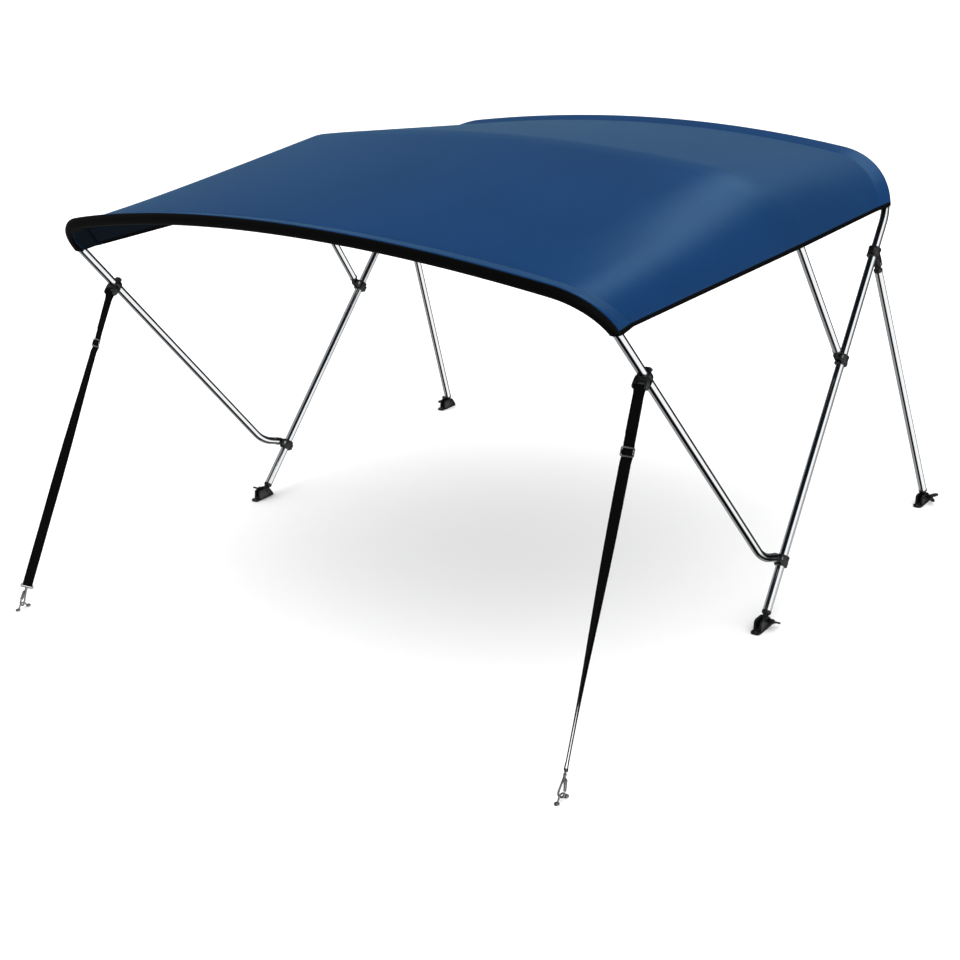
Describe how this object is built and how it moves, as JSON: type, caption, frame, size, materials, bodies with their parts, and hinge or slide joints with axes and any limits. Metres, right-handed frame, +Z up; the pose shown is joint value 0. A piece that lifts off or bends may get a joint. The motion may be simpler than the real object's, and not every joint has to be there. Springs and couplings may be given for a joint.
{
  "type": "bimini top with folding bow frame",
  "caption": "Cloth sun canopy stretched over polished tube bows that stand on deck hinges, held by rear poles and front webbing straps.",
  "frame": {"origin": "on the deck, under the middle of the whole part", "axes": "+X to the right across the canopy, -Y to the front where the webbing straps pull down, +Z up"},
  "size_m": [1.838, 1.9486, 1.1575],
  "materials": {
    "canopy_cloth": "smooth coated woven marine cloth, dull sheen",
    "black_binding": "black woven binding tape",
    "webbing": "black ribbed webbing",
    "polished_tube": "polished stainless tube",
    "moulded_plastic": "moulded black plastic, fine grain",
    "bright_steel": "bright stainless steel"
  },
  "bodies": {
    "frame_and_canopy": {"main_bow": "polished_tube", "middle_bow": "polished_tube", "front_bow": "polished_tube", "rear_pole_right": "polished_tube", "rear_pole_left": "polished_tube", "deck_eye_main_right": "moulded_plastic", "deck_eye_rear_right": "moulded_plastic", "eye_front_bow_right": "moulded_plastic", "eye_middle_bow_right": "moulded_plastic", "eye_rear_pole_right": "moulded_plastic", "deck_eye_main_left": "moulded_plastic", "deck_eye_rear_left": "moulded_plastic", "eye_front_bow_left": "moulded_plastic", "eye_middle_bow_left": "moulded_plastic", "eye_rear_pole_left": "moulded_plastic", "jaw_slide_front_right": "moulded_plastic", "jaw_pin_front_right": "bright_steel", "jaw_slide_middle_right": "moulded_plastic", "jaw_pin_middle_right": "bright_steel", "jaw_slide_rear_right": "moulded_plastic", "jaw_pin_rear_right": "bright_steel", "jaw_slide_front_left": "moulded_plastic", "jaw_pin_front_left": "bright_steel", "jaw_slide_middle_left": "moulded_plastic", "jaw_pin_middle_left": "bright_steel", "jaw_slide_rear_left": "moulded_plastic", "jaw_pin_rear_left": "bright_steel", "deck_hinge_main_right": "moulded_plastic", "deck_hinge_rear_right": "moulded_plastic", "deck_hinge_main_left": "moulded_plastic", "deck_hinge_rear_left": "moulded_plastic", "canopy_cloth": "canopy_cloth", "front_facing": "black_binding", "side_binding_right": "black_binding", "side_binding_left": "black_binding", "strap_slide_right": "moulded_plastic", "strap_webbing_right": "webbing", "strap_adjuster_right": "bright_steel", "hook_bail_right": "bright_steel", "snap_hook_right": "bright_steel", "eye_strap_right": "bright_steel", "strap_slide_left": "moulded_plastic", "strap_webbing_left": "webbing", "strap_adjuster_left": "bright_steel", "hook_bail_left": "bright_steel", "snap_hook_left": "bright_steel", "eye_strap_left": "bright_steel"},
    "wing_knob_main_right": {"wing_knob_main_right": "moulded_plastic"},
    "wing_knob_rear_right": {"wing_knob_rear_right": "moulded_plastic"},
    "wing_knob_main_left": {"wing_knob_main_left": "moulded_plastic"},
    "wing_knob_rear_left": {"wing_knob_rear_left": "moulded_plastic"},
    "hook_gate_right": {"hook_gate_right": "bright_steel"},
    "hook_gate_left": {"hook_gate_left": "bright_steel"}
  },
  "joints": [
    {"name": "wing_knob_main_right_turn", "type": "hinge", "parent": "frame_and_canopy", "child": "wing_knob_main_right", "pos_m": [0.857, -0.01975, 0.02], "axis": [1, 0, 0], "continuous": true},
    {"name": "wing_knob_rear_right_turn", "type": "hinge", "parent": "frame_and_canopy", "child": "wing_knob_rear_right", "pos_m": [0.88, 0.94825, 0.02], "axis": [1, 0, 0], "continuous": true},
    {"name": "wing_knob_main_left_turn", "type": "hinge", "parent": "frame_and_canopy", "child": "wing_knob_main_left", "pos_m": [-0.857, -0.01975, 0.02], "axis": [-1, 0, 0], "continuous": true},
    {"name": "wing_knob_rear_left_turn", "type": "hinge", "parent": "frame_and_canopy", "child": "wing_knob_rear_left", "pos_m": [-0.88, 0.94825, 0.02], "axis": [-1, 0, 0], "continuous": true},
    {"name": "hook_gate_right_swing", "type": "hinge", "parent": "frame_and_canopy", "child": "hook_gate_right", "pos_m": [0.87051, -0.93735, 0.04279], "axis": [0, 0.8874, -0.461], "range_deg": [0, 22], "stiffness_Nm_per_rad": 0.01},
    {"name": "hook_gate_left_swing", "type": "hinge", "parent": "frame_and_canopy", "child": "hook_gate_left", "pos_m": [-0.87051, -0.93735, 0.04279], "axis": [0, -0.8874, 0.461], "range_deg": [0, 22], "stiffness_Nm_per_rad": 0.01}
  ]
}
